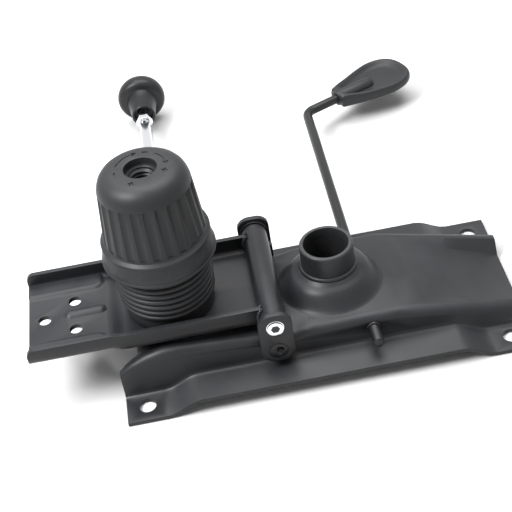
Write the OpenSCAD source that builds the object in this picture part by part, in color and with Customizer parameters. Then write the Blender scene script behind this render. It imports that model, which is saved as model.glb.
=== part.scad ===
// Push back mechanism of an office chair: the back bracket tilts against a spring under a hand knob.
// Millimetres. It lies seat side down, so +Z points away from the seat and the column socket opens upward.
// +X is the front of the seat, +Y the side of the levers. The origin is midway between the four
// seat bolts, on the plane that touches the seat board.

/* [Seat plate] */
// Length of the seat plate, back to front
plate_l = 256; // [244:2:280]
// Width over the side flanges
plate_w = 126; // [120:1:140]
// Width over the upright side walls
wall_w = 81; // [79:1:86]
// Thickness of the pressed sheet
plate_t = 2.5; // [2:0.25:3]
// Height of the deck over the seat board
deck_h = 30; // [28.5:0.5:33]
// Height of the top of the side flanges
flange_h = 11; // [10:0.5:12]
// Length of each foot
foot_l = 25; // [22:1:28]
// Length of the ramp between a foot and its flange
joggle_l = 22; // [18:1:24]
// Outside radius where the deck rolls into a wall
corner_r = 5; // [4:0.5:6]
// Inside radius where a wall turns out into a flange
bend_r = 3; // [2:0.5:4]
// How far the side ridges stand over the deck behind the pivot
ridge_rise = 4; // [2:0.5:5]
// How far the back end drops below the deck
tail_drop = 8; // [6:0.5:9]
// Height of the side ridges at the front end
nose_ridge_h = 12; // [11.5:0.5:14]
// Distance from the origin to where the front trough starts
trough_x = 58; // [54:1:62]
// Half width of the flat part of the deck
deck_y = 27; // [25:0.5:28]
// Depth of the notch in the back end of the deck
notch_l = 13; // [8:1:14]

/* [Seat bolts] */
// Spacing of the seat bolt holes, back to front
seat_dx = 230; // [222:1:236]
// Spacing of the seat bolt holes across
seat_dy = 102; // [100:1:106]
// Diameter of the seat bolt holes
seat_hole_d = 11; // [8.5:0.5:12]

/* [Column socket] */
// Distance from the origin to the socket axis
socket_x = 12; // [10:1:16]
// Outside diameter of the socket tube
socket_d = 33.8; // [33:0.1:35]
// Diameter of the socket mouth
socket_bore = 28.4; // [28:0.1:28.6]
// Length of the straight land at the mouth
socket_land = 8; // [6:1:12]
// Loss of diameter over the taper below the land
socket_taper = 1.4; // [1:0.1:1.6]
// Height of the socket mouth over the deck
socket_up = 32; // [28:1:36]
// Diameter of the drawn boss round the socket
boss_d = 62; // [58:1:64]
// Height of the drawn boss
boss_h = 14.5; // [12:0.5:16]

/* [Back bracket] */
// Distance from the pivot axis to the back end
tray_l = 150; // [142:1:160]
// Width of the bracket
tray_w = 73.6; // [72:0.2:76]
// Height of the side flanges over the underside, by the pivot
tray_h = 14.5; // [14:0.25:16]
// Sheet thickness of the bracket
tray_t = 3; // [2.5:0.25:3.25]
// Gap between the deck and the underside of the bracket
tray_gap = 6; // [5:0.5:7]
// Height of the step in the floor
step_h = 3; // [2:0.5:4]
// Distance from the back end to the top of the step
step_at = 49.5; // [48:0.5:51]
// Length of the step
step_l = 10; // [8:1:12]
// Inside radius between floor and flange
tray_r = 3; // [2:0.5:4]
// Diameter of the back bar holes
bar_hole_d = 8.2; // [6.5:0.1:8.5]
// Spacing of the pair of back bar holes
bar_dy = 26; // [22:1:30]
// Distance from the back end to the pair of holes
bar_pair_at = 29.5; // [28:0.5:32]
// Distance from the back end to the single hole
bar_single_at = 10; // [8.5:0.5:12]

/* [Pivot] */
// Distance from the origin to the pivot axis, towards the back
pivot_back = 29.4; // [28:0.2:31]
// Outside diameter of the pivot tube
tube_d = 16; // [15.5:0.25:17]
// Diameter of the pivot shaft
shaft_d = 10; // [9:0.5:10]
// Wall of the plastic bush round the shaft
bush_wall = 1.2; // [1:0.1:1.4]
// Thickness of the bush flange
bush_flange = 1; // [0.8:0.1:1.2]
// Width of a side link
link_w = 22; // [21:0.5:24]
// Height of a side link
link_h = 38; // [37:0.5:39]
// Thickness of a side link
link_t = 8.5; // [7.5:0.5:10]
// Corner radius of a side link
link_r = 8.5; // [7:0.5:9]
// Distance from the shaft axis down to the lower pin
pin_drop = 18.6; // [18:0.2:19]
// Head diameter of the lower pin
pin_head_d = 12; // [11:0.5:12]
// Diameter of the lower pin
pin_d = 7; // [6:0.5:7]
// Head diameter of the pivot bolt
bolt_head_d = 11.6; // [11:0.2:12]

/* [Tension unit] */
// Distance from the origin to the tension bolt, towards the back
bolt_back = 89.5; // [88:0.5:91]
// Diameter of the tension bolt
bolt_d = 10; // [9:0.5:10]
// Wire of the tension spring
spring_wire = 6; // [5:0.25:6.5]
// Mean diameter of the tension spring
spring_d = 38; // [37:0.5:39]
// Turns of the tension spring
spring_turns = 7.5; // [6:0.5:8]
// Length of the fitted spring
spring_l = 75; // [72:1:78]
// Thickness of the spring seat
seat_t = 3; // [2.5:0.25:3.5]
// Width of the square anchor plate
anchor_w = 28; // [26:1:29]
// Thickness of the anchor plate
anchor_t = 4; // [3:0.5:4]
// Folds of the dust bellows
folds = 6; // [5:1:7]
// Outside diameter of the bellows at the top
bellows_top_d = 61.6; // [60:0.2:62]
// Outside diameter of the bellows at the foot
bellows_foot_d = 55; // [54:0.2:57]
// Height of the whole bellows
bellows_h = 44; // [42:1:46]

/* [Knob] */
// Diameter over the bottom lip
knob_lip_d = 70.4; // [69:0.2:72]
// Diameter of the body above the skirt
knob_body_d = 63; // [62:0.5:64]
// Diameter of the body below the rounded top
knob_top_d = 55; // [54:0.5:57]
// Height of the knob
knob_h = 63; // [61:1:66]
// Height of the skirt
skirt_h = 18; // [16:1:20]
// Clear height from bracket floor to knob lip
knob_lift = 41.5; // [40:0.5:44]
// Wall of the knob skirt
knob_wall = 2.8; // [2.4:0.2:3]
// Number of grip flutes
flutes = 24; // [18:2:30]
// Diameter of the top hole
knob_hole_d = 20; // [19:0.5:21]

/* [Gas lever] */
// Distance from the origin to the lever axis
lever_x = 31.2; // [31:0.2:36]
// Height of the lever axis
lever_z = 21.5; // [20.5:0.25:21.5]
// Diameter of the lever rod
rod_d = 7; // [6:0.5:7]
// How far the rod end stands out of the near wall
stub_l = 15; // [12:1:18]
// Distance from the middle of the seat plate to the rod corner
lever_reach = 203; // [190:1:230]
// Centre line radius of the rod corner
rod_bend_r = 9; // [8:1:12]
// Angle of the paddle off the front direction
lever_yaw = 24; // [20:1:30]
// Distance from the rod corner to the paddle
paddle_at = 25; // [22:1:30]
// Length of the paddle
paddle_l = 62; // [56:1:70]
// Width of the paddle
paddle_w = 43; // [38:1:46]
// Thickness of the paddle at the rod end
paddle_t = 12; // [11:0.5:13]

/* [Tilt lock] */
// Distance from the origin to the lock rod, towards the back
lock_back = 93; // [92:0.5:94]
// Height of the lock rod axis
lock_z = 21; // [20.75:0.25:21.25]
// Diameter of the lock rod
lock_d = 10; // [9:0.5:10]
// Distance from the middle of the seat plate to the end of the thick rod
lock_reach = 230; // [215:1:240]
// Travel of the lock rod
lock_travel = 12; // [10:1:12]
// Head diameter of the lock knob
lock_head_d = 38; // [34:1:40]
// Length of the lock knob
lock_knob_l = 42; // [38:1:46]

/* [Fits] */
// Radial clearance of a running fit
run_c = 0.05; // [0.03:0.01:0.08]
// Gap between parts that pass each other
free_c = 0.3; // [0.25:0.05:0.4]

/* [Hidden] */
$fn = 64;
eps = 0.01;
rear = -plate_l / 2;
front = plate_l / 2;
wall_y = wall_w / 2;
foot_in = rear + foot_l;
flange_in = foot_in + joggle_l;
tail_flat = 14;
tail_ridge = 28;
ridge_fade = 52;
dip_depth = 2.5;
dip_half = 12;
dip_x = -18;
nose_lean = 3;

tray_z = deck_h + tray_gap;
floor_z = tray_z + tray_t;
pivot_x = -pivot_back;
pivot_z = tray_z + tube_d / 2;
tray_rear = pivot_x - tray_l;
step_x = tray_rear + step_at;
tray_y = tray_w / 2;
cope_x = pivot_x - tube_d / 2 + 2.5;
flange_step = 1.5;
bead_h = 1.2;
bead_w = 8;
band_w = 11;
band_l = 45;
pair_x = tray_rear + bar_pair_at;
single_x = tray_rear + bar_single_at;

link_y = wall_y;
link_top = pivot_z + link_w / 2;
pin_z = pivot_z - pin_drop;
bush_id = shaft_d + 2 * run_c;
bush_od = bush_id + 2 * bush_wall;
tube_half = link_y - free_c - bush_flange;
shaft_half = link_y + link_t - 3;
thread_d = 6;
hex_af = 5;

bolt_x = -bolt_back;
bolt_slot_d = bolt_d + 8;
spring_z = floor_z + seat_t;
washer_t = 3;
nut_z = spring_z + spring_l + washer_t;
nut_af = 17;
nut_h = 8;
bolt_top = nut_z + nut_h + 4;
knob_z = floor_z + knob_lift;
knob_top_z = knob_z + knob_h;
bellows_in = spring_d + spring_wire + 2 * 1.6;

lever_turn = 90 - lever_yaw;
bend_y = lever_reach - rod_bend_r * tan(lever_turn / 2);
tongue_w = 16;
tongue_t = 3;
bush_out_d = rod_d + 2 * run_c + 2;

lock_x = -lock_back;
sleeve_d = lock_d + 2 * run_c + 2.6;
sleeve_in = 9;
tip_y = wall_y - sleeve_in - free_c - 1;
tab_t = 3;
tab_hole_d = lock_d + 2;
tab_y = tip_y - 3.5 - tab_t;
tab_w = 17;
slot_front = lock_x + tab_w / 2 + 1;
slot_back = lock_x - tab_w / 2 - 6.5;
stud_d = 8;
jam_af = 13;
jam_h = 6.5;
pad_d = 12;
pad_x = bolt_x - anchor_w / 2 - 4.2;
pad_y = 14;
pad_stem_d = 5;

// Helpers

function ramp(x, a, b) = min(1, max(0, (x - a) / (b - a)));
function ease(s) = s * s * (3 - 2 * s);
function steps(a, b, n) = [for (i = [0 : n - 1]) a + (b - a) * i / n];
function mirrored(half) = concat([for (i = [len(half) - 1 : -1 : 1]) [-half[i][0], half[i][1]]], half);

// A sheet lofted through cross-sections at the stations xs; tops and unders hold [y, z] points.
module sheet_loft(xs, tops, unders) {
    n = len(tops[0]);
    m = len(xs);
    pts = [for (i = [0 : m - 1]) each concat(
        [for (p = tops[i]) [xs[i], p[0], p[1]]],
        [for (p = unders[i]) [xs[i], p[0], p[1]]])];
    function id(i, side, j) = i * 2 * n + side * n + j;
    function pair(a, b, c, d) = [[a, b, c], [a, c, d]];
    faces = concat(
        [for (i = [0 : m - 2]) for (j = [0 : n - 2]) each concat(
            pair(id(i, 0, j), id(i, 0, j + 1), id(i + 1, 0, j + 1), id(i + 1, 0, j)),
            pair(id(i, 1, j + 1), id(i, 1, j), id(i + 1, 1, j), id(i + 1, 1, j + 1)))],
        [for (i = [0 : m - 2]) each concat(
            pair(id(i, 1, 0), id(i, 0, 0), id(i + 1, 0, 0), id(i + 1, 1, 0)),
            pair(id(i, 0, n - 1), id(i, 1, n - 1), id(i + 1, 1, n - 1), id(i + 1, 0, n - 1)))],
        [for (j = [0 : n - 2]) each concat(
            pair(id(0, 1, j), id(0, 1, j + 1), id(0, 0, j + 1), id(0, 0, j)),
            pair(id(m - 1, 0, j), id(m - 1, 0, j + 1), id(m - 1, 1, j + 1), id(m - 1, 1, j)))]);
    polyhedron(points = pts, faces = faces, convexity = 6);
}

module along_y(y0, y1, d) {
    translate([0, y0, 0]) rotate([-90, 0, 0]) cylinder(d = d, h = y1 - y0);
}

module both_sides() {
    for (s = [0, 1]) mirror([0, s, 0]) children();
}

module hexagon(af, h) {
    cylinder(d = af / cos(30), h = h, $fn = 6);
}

// Seat plate: heights along its length, then its cross-section

function foot_share(x) =
    ease(ramp(x, foot_in, flange_in)) * (1 - ease(ramp(x, -flange_in, -foot_in)));
function flange_z(x) = plate_t + (flange_h - plate_t) * foot_share(x);
function deck_z(x) =
    deck_h - tail_drop * (1 - ramp(x, rear, rear + tail_flat))
    - (deck_h - plate_t) * ramp(x, trough_x, front);
function dip(x) = dip_depth * ease(1 - min(1, abs(x - dip_x) / dip_half));
function ridge_z(x) =
    deck_h - tail_drop * (1 - ramp(x, rear, rear + tail_flat))
    + ridge_rise * ramp(x, rear + tail_flat, rear + tail_ridge) * (1 - ramp(x, -90, -90 + ridge_fade))
    - dip(x)
    - (deck_h - nose_ridge_h) * ramp(x, trough_x - 10, front);
function wall_top_y(x) = wall_y - nose_lean * ramp(x, trough_x, front);

function plate_half(x, t) =
    let (zr = ridge_z(x), zf = flange_z(x), yt = wall_top_y(x) - corner_r)
    concat(
        [[0, deck_z(x) - t], [deck_y - nose_lean * ramp(x, trough_x, front), deck_z(x) - t],
         [yt - 2.5, zr - t]],
        [for (a = [90 : -30 : 0]) [yt + (corner_r - t) * cos(a), zr - corner_r + (corner_r - t) * sin(a)]],
        [for (a = [180 : 45 : 270]) [wall_y + bend_r + (bend_r + t) * cos(a),
                                     zf + bend_r + (bend_r + t) * sin(a)]],
        [[plate_w / 2, zf - t]]);

plate_xs = concat(
    steps(rear, foot_in, 3),
    steps(foot_in, flange_in, 5),
    steps(flange_in, dip_x - dip_half, 3),
    steps(dip_x - dip_half, dip_x + dip_half, 6),
    steps(dip_x + dip_half, trough_x - 10, 2),
    steps(trough_x - 10, trough_x, 1),
    steps(trough_x, -flange_in, 2),
    steps(-flange_in, -foot_in, 5),
    steps(-foot_in, front, 2),
    [front]);

// Height of the drawn boss at radius r: it rises gently from the deck, then steeply to its collar.
boss_r0 = boss_d / 2;
boss_r1 = socket_d / 2 + run_c;
function boss_z(r) =
    let (s = (boss_r0 - r) / (boss_r0 - boss_r1 - 1.6))
    deck_h + boss_h * (0.55 * ease(min(1, s)) + 0.45 * pow(min(1, s), 3));

module drawn_boss() {
    rs = [for (i = [0 : 10]) boss_r0 - (boss_r0 - boss_r1 - 1.6) * i / 10];
    translate([socket_x, 0, 0]) rotate_extrude() polygon(concat(
        [[boss_r0 + 2, deck_h - plate_t], [boss_r0 + 2, deck_h]],
        [for (r = rs) [r, boss_z(r)]],
        [[boss_r1, deck_h + boss_h]],
        [[boss_r1, deck_h + boss_h - 4]],
        [for (i = [9 : -1 : 1]) [rs[i] - 0.6, boss_z(rs[i]) - plate_t]],
        [[boss_r0 - 0.6, deck_h - plate_t]]));
}

module tail_notch() {
    depth = rear + notch_l;
    translate([0, 0, deck_h - tail_drop - plate_t - 4]) linear_extrude(height = 30) polygon([
        [rear - 5, -wall_y + corner_r - 1], [rear - eps, -wall_y + corner_r - 1],
        [depth, -wall_y + corner_r + 4], [depth, wall_y - corner_r - 4],
        [rear - eps, wall_y - corner_r + 1], [rear - 5, wall_y - corner_r + 1]]);
}

module seat_plate() {
    color("#3c3d40") difference() {
        union() {
            difference() {
                sheet_loft(plate_xs,
                    [for (x = plate_xs) mirrored(plate_half(x, 0))],
                    [for (x = plate_xs) mirrored(plate_half(x, plate_t))]);
                translate([socket_x, 0, deck_h - 8]) cylinder(d = boss_d - 2, h = 16, $fn = 96);
            }
            drawn_boss();
        }
        for (x = [-seat_dx / 2, seat_dx / 2]) for (y = [-seat_dy / 2, seat_dy / 2])
            translate([x, y, -5]) cylinder(d = seat_hole_d, h = 12);
        tail_notch();
        translate([bolt_x, 0, deck_h - 8]) cylinder(d = bolt_d + 1, h = 12);
        both_sides() translate([lever_x, 0, lever_z]) along_y(wall_y - 8, wall_y + 4, bush_out_d + 2 * run_c);
        both_sides() translate([pivot_x, 0, pin_z]) along_y(wall_y - 8, wall_y + 4, pin_d + 2 * run_c);
        translate([lock_x, 0, lock_z]) along_y(wall_y - 8, wall_y + 4, sleeve_d + 2 * run_c);
        translate([slot_back, tab_y - 1.5, deck_h - 8]) cube([slot_front - slot_back, tab_t + 3, 12]);
        for (y = [-pad_y, pad_y])
            translate([pad_x, y, deck_h - 8]) cylinder(d = pad_stem_d + 2 * run_c, h = 12);
    }
}

// Gas column socket

module gas_socket() {
    mouth = deck_h + socket_up;
    foot = deck_h - plate_t - 1;
    color("#37383a") translate([socket_x, 0, 0]) rotate_extrude() polygon([
        [socket_bore / 2 - socket_taper / 2, foot],
        [socket_d / 2, foot],
        [socket_d / 2, mouth - 1],
        [socket_d / 2 - 0.8, mouth],
        [socket_bore / 2, mouth],
        [socket_bore / 2, mouth - socket_land]]);
}

module socket_collar() {
    z0 = deck_h + boss_h;
    color("#404144") translate([socket_x, 0, 0]) rotate_extrude() polygon([
        [boss_r1, z0], [boss_r1 + 1.6, z0], [boss_r1 + 1.7, z0 + 1.2], [boss_r1 + 1.1, z0 + 2.2],
        [boss_r1, z0 + 2.6]]);
}

// Side links, which stand on the seat plate's walls and carry the pivot

module link_outline() {
    c = link_w / 2 - link_r;
    low = link_top - link_h;
    translate([pivot_x, 0]) {
        for (s = [-1, 1]) for (z = [low + link_r, link_top - link_r])
            translate([s * c, z]) circle(r = link_r);
        translate([-c, low]) square([2 * c, link_h]);
        translate([-link_w / 2, low + link_r]) square([link_w, link_h - 2 * link_r]);
    }
}

module side_link() {
    difference() {
        translate([0, link_y + link_t, 0]) rotate([90, 0, 0]) linear_extrude(height = link_t) link_outline();
        translate([pivot_x, 0, pivot_z]) along_y(link_y - 1, link_y + link_t + 1, shaft_d + 2 * run_c);
        translate([pivot_x, 0, pivot_z])
            along_y(link_y + link_t - 2.5, link_y + link_t + 1, bolt_head_d + 2 * run_c);
        translate([pivot_x, 0, pin_z]) along_y(link_y - 1, link_y + link_t + 1, pin_d + 2 * run_c);
        translate([pivot_x, 0, pin_z])
            along_y(link_y + link_t - 3, link_y + link_t + 1, pin_head_d + 2 * run_c);
    }
}

module side_link_near() {
    color("#3a3b3e") mirror([0, 1, 0]) side_link();
}

module side_link_far() {
    color("#3a3b3e") side_link();
}

module link_pins() {
    color("#2b2c2e") both_sides() translate([pivot_x, 0, pin_z]) difference() {
        union() {
            along_y(link_y - plate_t, link_y + link_t - 3 + eps, pin_d);
            along_y(link_y + link_t - 3, link_y + link_t - 0.2, pin_head_d);
        }
        translate([1.2, 0, 0.5]) along_y(link_y + link_t - 1.8, link_y + link_t, 4.4);
    }
}

// Pivot

module pivot_shaft() {
    color("#b9bbbe") translate([pivot_x, 0, pivot_z]) difference() {
        along_y(-shaft_half + 0.5, shaft_half - 0.5, shaft_d);
        both_sides() along_y(shaft_half - 16, shaft_half, thread_d + 2 * run_c);
    }
}

module pivot_bolts() {
    face = link_y + link_t;
    color("#cfd2d6") both_sides() translate([pivot_x, 0, pivot_z]) difference() {
        union() {
            along_y(face - 2.5, face - 0.6, bolt_head_d);
            along_y(face - 0.7, face + 0.5, bolt_head_d - 1.6);
            along_y(shaft_half - 15, face - 2.4, thread_d);
        }
        translate([0, face - 2, 0]) rotate([-90, 0, 0]) hexagon(hex_af, 4);
    }
}

module pivot_tube() {
    color("#404144") translate([pivot_x, 0, pivot_z]) difference() {
        along_y(-tube_half, tube_half, tube_d);
        along_y(-tube_half - 1, tube_half + 1, bush_od + 2 * run_c);
    }
}

module pivot_bushes() {
    color("#d9d6cc") both_sides() translate([pivot_x, 0, pivot_z]) difference() {
        union() {
            along_y(tube_half - 14, tube_half + eps, bush_od);
            along_y(tube_half, tube_half + bush_flange, tube_d - 0.6);
        }
        along_y(tube_half - 15, tube_half + bush_flange + 1, bush_id);
    }
}

// Back bracket: a channel with a stepped floor, welded to the pivot tube

function tray_step(x) = step_h * (1 - ease(ramp(x, step_x, step_x + step_l)));
function tray_half(x, t) =
    let (s = tray_step(x), z = floor_z + s, yc = tray_y - tray_t - tray_r)
    concat(
        [[0, z - t]],
        [for (a = [270 : 22.5 : 360]) [yc + (tray_r + t) * cos(a), z + tray_r + (tray_r + t) * sin(a)]],
        [[tray_y - tray_t + t, tray_z + tray_h + flange_step * s / step_h]]);

tray_xs = concat([tray_rear], steps(step_x, step_x + step_l, 5), [step_x + step_l, cope_x]);

// Rounds the top corner of both flanges at the back end
module flange_round() {
    r = 5;
    top = tray_z + tray_h + flange_step;
    translate([0, tray_y + 1, 0]) rotate([90, 0, 0]) linear_extrude(height = tray_w + 2) difference() {
        translate([tray_rear - 1, top - r]) square(r + 1);
        translate([tray_rear + r, top - r]) circle(r = r);
    }
}

module back_bracket() {
    color("#45464a") difference() {
        union() {
            sheet_loft(tray_xs,
                [for (x = tray_xs) mirrored(tray_half(x, 0))],
                [for (x = tray_xs) mirrored(tray_half(x, tray_t))]);
            translate([step_x - 4, 0, floor_z + step_h]) bead(19);
            both_sides() side_band();
        }
        translate([pivot_x, 0, pivot_z]) along_y(-tray_y - 1, tray_y + 1, tube_d + 0.04);
        for (y = [-bar_dy / 2, bar_dy / 2])
            translate([pair_x, y, tray_z - 1]) cylinder(d = bar_hole_d, h = 14);
        translate([single_x, 0, tray_z - 1]) cylinder(d = bar_hole_d, h = 14);
        translate([bolt_x, 0, tray_z - 1]) cylinder(d = bolt_slot_d, h = 8);
        flange_round();
    }
}

// A low round-ended bead pressed up in the floor: l runs back from its front centre
module bead(l) {
    r = (bead_w * bead_w / 4 + bead_h * bead_h) / (2 * bead_h);
    intersection() {
        translate([-l, 0, bead_h - r]) union() {
            rotate([0, 90, 0]) cylinder(r = r, h = l);
            sphere(r = r);
            translate([l, 0, 0]) sphere(r = r);
        }
        translate([-l - bead_w, -bead_w, -1]) cube([l + 2 * bead_w, 2 * bead_w, bead_h + 2]);
    }
}

// A raised band along each flange stiffens the bolted end
module side_band() {
    inner = tray_y - tray_t - band_w;
    r = 4;
    translate([0, 0, floor_z + step_h - 1]) linear_extrude(height = bead_h + 1) {
        translate([tray_rear, inner]) square([band_l - r, band_w + 1]);
        translate([tray_rear, inner + r]) square([band_l, band_w + 1 - r]);
        translate([tray_rear + band_l - r, inner + r]) circle(r = r);
    }
}

module rest_pads() {
    color("#1c1c1d") for (y = [-pad_y, pad_y]) translate([pad_x, y, 0]) {
        translate([0, 0, deck_h]) cylinder(d = pad_d, h = tray_gap - free_c);
        translate([0, 0, deck_h - plate_t - 1]) cylinder(d = pad_stem_d, h = plate_t + 1 + eps);
        translate([0, 0, deck_h - plate_t - 3]) cylinder(d1 = pad_stem_d - 1, d2 = pad_stem_d + 2, h = 3);
    }
}

// Tension unit

module anchor_plate() {
    z = deck_h - plate_t - anchor_t;
    color("#4a4b4e") difference() {
        translate([bolt_x - anchor_w / 2, -anchor_w / 2, z]) cube([anchor_w, anchor_w, anchor_t]);
        translate([bolt_x, 0, z - 1]) cylinder(d = bolt_d + 2 * run_c, h = anchor_t + 2);
    }
}

module tension_bolt() {
    z = deck_h - plate_t - anchor_t;
    color("#9fa2a6") translate([bolt_x, 0, 0]) {
        translate([0, 0, z - 6.4]) hexagon(nut_af, 6.4);
        translate([0, 0, z - eps]) cylinder(d = bolt_d, h = bolt_top - z - 1);
        translate([0, 0, bolt_top - 1 - 2 * eps]) cylinder(d1 = bolt_d, d2 = bolt_d - 2, h = 1);
    }
}

module spring_seat() {
    rim = bellows_in / 2 - free_c;
    boss = spring_d / 2 - spring_wire / 2 - 0.6;
    color("#5b5d60") translate([bolt_x, 0, 0]) rotate_extrude() polygon([
        [bolt_slot_d / 2, floor_z], [rim, floor_z], [rim, spring_z], [boss, spring_z],
        [boss - 0.6, spring_z + 4], [bolt_slot_d / 2, spring_z + 4]]);
}

// The spring is one tube swept along a helix, with closed ends that lie almost flat.
coil_rings = 12;
coil_sides = 8;
coil_n = round(spring_turns * coil_rings);
function coil_share(s) =
    let (flat = 1 / spring_turns)
    (s < flat ? 0.5 * s * s / flat
        : s > 1 - flat ? 1 - flat - 0.5 * pow(1 - s, 2) / flat
        : s - 0.5 * flat) / (1 - flat);
function coil_lift(s) = spring_wire / 2 + (spring_l - spring_wire) * coil_share(s);
function coil_at(i) =
    let (s = i / coil_n, a = 360 * spring_turns * s)
    [spring_d / 2 * cos(a), spring_d / 2 * sin(a), coil_lift(s)];

module tension_spring() {
    pts = [for (i = [0 : coil_n]) let (s = i / coil_n, a = 360 * spring_turns * s, c = coil_at(i))
        for (k = [0 : coil_sides - 1]) let (b = 360 * k / coil_sides)
            [c[0] + spring_wire / 2 * cos(b) * cos(a), c[1] + spring_wire / 2 * cos(b) * sin(a),
             c[2] + spring_wire / 2 * sin(b)]];
    function id(i, k) = i * coil_sides + k % coil_sides;
    faces = concat(
        [for (i = [0 : coil_n - 1]) for (k = [0 : coil_sides - 1]) each [
            [id(i, k), id(i, k + 1), id(i + 1, k + 1)], [id(i, k), id(i + 1, k + 1), id(i + 1, k)]]],
        [for (k = [1 : coil_sides - 2]) [id(0, 0), id(0, k + 1), id(0, k)]],
        [for (k = [1 : coil_sides - 2]) [id(coil_n, 0), id(coil_n, k), id(coil_n, k + 1)]]);
    color("#8d9094") translate([bolt_x, 0, spring_z]) polyhedron(points = pts, faces = faces, convexity = 10);
}
echo(least_coil_gap = min([for (i = [0 : coil_n - coil_rings])
    coil_at(i + coil_rings)[2] - coil_at(i)[2]]) - spring_wire);

module thrust_washer() {
    color("#b9bbbe") translate([bolt_x, 0, nut_z - washer_t]) difference() {
        cylinder(d = spring_d + spring_wire - 1, h = washer_t);
        translate([0, 0, -1]) cylinder(d = bolt_d + 2 * free_c, h = washer_t + 2);
    }
}

module knob_nut() {
    color("#b9bbbe") translate([bolt_x, 0, nut_z]) difference() {
        hexagon(nut_af, nut_h);
        translate([0, 0, -1]) cylinder(d = bolt_d + 2 * run_c, h = nut_h + 2);
    }
}

// Outer and inner lines of the knob, as radius and height over its lip
skirt_r = knob_body_d / 2 + 1.2;
knob_round = 11;
flute_r = 4.2;
flute_depth = 1.4;
function knob_out() = concat(
    [[knob_lip_d / 2 - 0.6, 0], [knob_lip_d / 2, 0.8], [knob_lip_d / 2, 2], [knob_lip_d / 2 - 0.7, 2.8],
     [knob_lip_d / 2 - 0.5, 4], [skirt_r, skirt_h - 3.4], [skirt_r + 0.8, skirt_h - 2.8],
     [skirt_r + 0.8, skirt_h - 1.2], [skirt_r, skirt_h - 0.6], [knob_body_d / 2 - 0.2, skirt_h + 0.4]],
    [[knob_top_d / 2 + 0.6, knob_h - knob_round]],
    [for (a = [15 : 15 : 90]) [knob_top_d / 2 - knob_round + knob_round * cos(a) + 0.3,
                               knob_h - knob_round + knob_round * sin(a)]]);
function knob_in() =
    [[knob_hole_d / 2, knob_h], [knob_hole_d / 2, nut_z - knob_z],
     [knob_top_d / 2 - knob_wall, nut_z - knob_z], [knob_body_d / 2 - knob_wall - 0.6, skirt_h + 3],
     [knob_lip_d / 2 - knob_wall - 1.2, skirt_h - 3], [knob_lip_d / 2 - knob_wall - 1.2, 0]];

module tension_knob() {
    lean = atan((knob_body_d - knob_top_d) / 2 / (knob_h - skirt_h - knob_round));
    flute_l = knob_h - skirt_h - knob_round - 2;
    color("#37383b") translate([bolt_x, 0, knob_z]) difference() {
        rotate_extrude($fn = 96) polygon(concat(knob_out(), knob_in()));
        translate([0, 0, nut_z - knob_z - 1]) hexagon(nut_af + 2 * run_c, nut_h + free_c + 1);
        for (i = [0 : flutes - 1]) rotate([0, 0, 360 * i / flutes])
            translate([knob_body_d / 2 + flute_r - flute_depth, 0, skirt_h + 2]) rotate([0, -lean, 0])
                cylinder(r = flute_r, h = flute_l, $fn = 32);
    }
}

// Bellows: each fold is a rounded ridge, and the folds widen from the foot to the top.
fold_z0 = 6;
fold_z1 = bellows_h - 10;
function fold_r(s) = bellows_foot_d / 2 + 1.5 + (bellows_top_d / 2 - bellows_foot_d / 2 - 1.5) * pow(s, 0.5);
module dust_bellows() {
    pitch = (fold_z1 - fold_z0) / folds;
    outer = [for (i = [0 : folds - 1]) for (p = [[-2.2, 0], [-0.2, 0.32], [0, 0.5], [-0.2, 0.68]])
        [fold_r((i + 0.5) / folds) + p[0], fold_z0 + pitch * (i + p[1])]];
    color("#2a2b2c") translate([bolt_x, 0, floor_z + free_c]) rotate_extrude() polygon(concat(
        [[bellows_foot_d / 2 - 0.1, 0], [bellows_foot_d / 2 + 0.4, fold_z0 - 1]],
        outer,
        [[bellows_top_d / 2 - 2.2, fold_z1], [bellows_top_d / 2 - 0.6, fold_z1 + 1.6],
         [bellows_top_d / 2 - 0.6, bellows_h]],
        [[bellows_in / 2, bellows_h], [bellows_in / 2, 0]]));
}

// Gas lever

module lever_path_end() {
    translate([lever_x + rod_bend_r, bend_y, lever_z]) rotate([0, 0, lever_yaw])
        translate([0, rod_bend_r, 0]) children();
}

rod_run = paddle_at - rod_bend_r * tan(lever_turn / 2);
rod_grip = 26;

module gas_lever_rod() {
    color("#2e2f31") {
        translate([lever_x, 0, lever_z]) {
            along_y(-wall_y - stub_l + 1, bend_y, rod_d);
            translate([0, -wall_y - stub_l, 0]) rotate([-90, 0, 0])
                cylinder(d1 = rod_d - 1.6, d2 = rod_d, h = 1 + eps);
        }
        translate([lever_x + rod_bend_r, bend_y, lever_z]) rotate([0, 0, 89.5 + lever_yaw])
            rotate_extrude(angle = lever_turn + 1) translate([rod_bend_r, 0]) circle(d = rod_d - 0.02);
        lever_path_end() rotate([0, 90, 0]) cylinder(d = rod_d, h = rod_run + rod_grip);
    }
}

module lever_tongue() {
    reach = lever_x - socket_x + 5;
    color("#6b6d70") translate([lever_x, tongue_w / 2, lever_z]) rotate([90, 0, 0])
        linear_extrude(height = tongue_w) difference() {
            union() {
                circle(d = rod_d + 3.4);
                rotate(-160) translate([0, -tongue_t / 2 - 1]) square([reach, tongue_t]);
            }
            circle(d = rod_d + 2 * run_c);
        }
}

module lever_bushes() {
    color("#d9d6cc") both_sides() translate([lever_x, 0, lever_z]) difference() {
        along_y(wall_y - plate_t - 1.5, wall_y + 1, bush_out_d);
        along_y(wall_y - 8, wall_y + 2, rod_d + 2 * run_c);
    }
}

module lever_clips() {
    color("#8d9094") both_sides() translate([lever_x, 0, lever_z]) difference() {
        along_y(wall_y - plate_t - 3, wall_y - plate_t - 1.8, rod_d + 3.4);
        along_y(wall_y - 12, wall_y, rod_d + 2 * run_c);
    }
}

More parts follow.
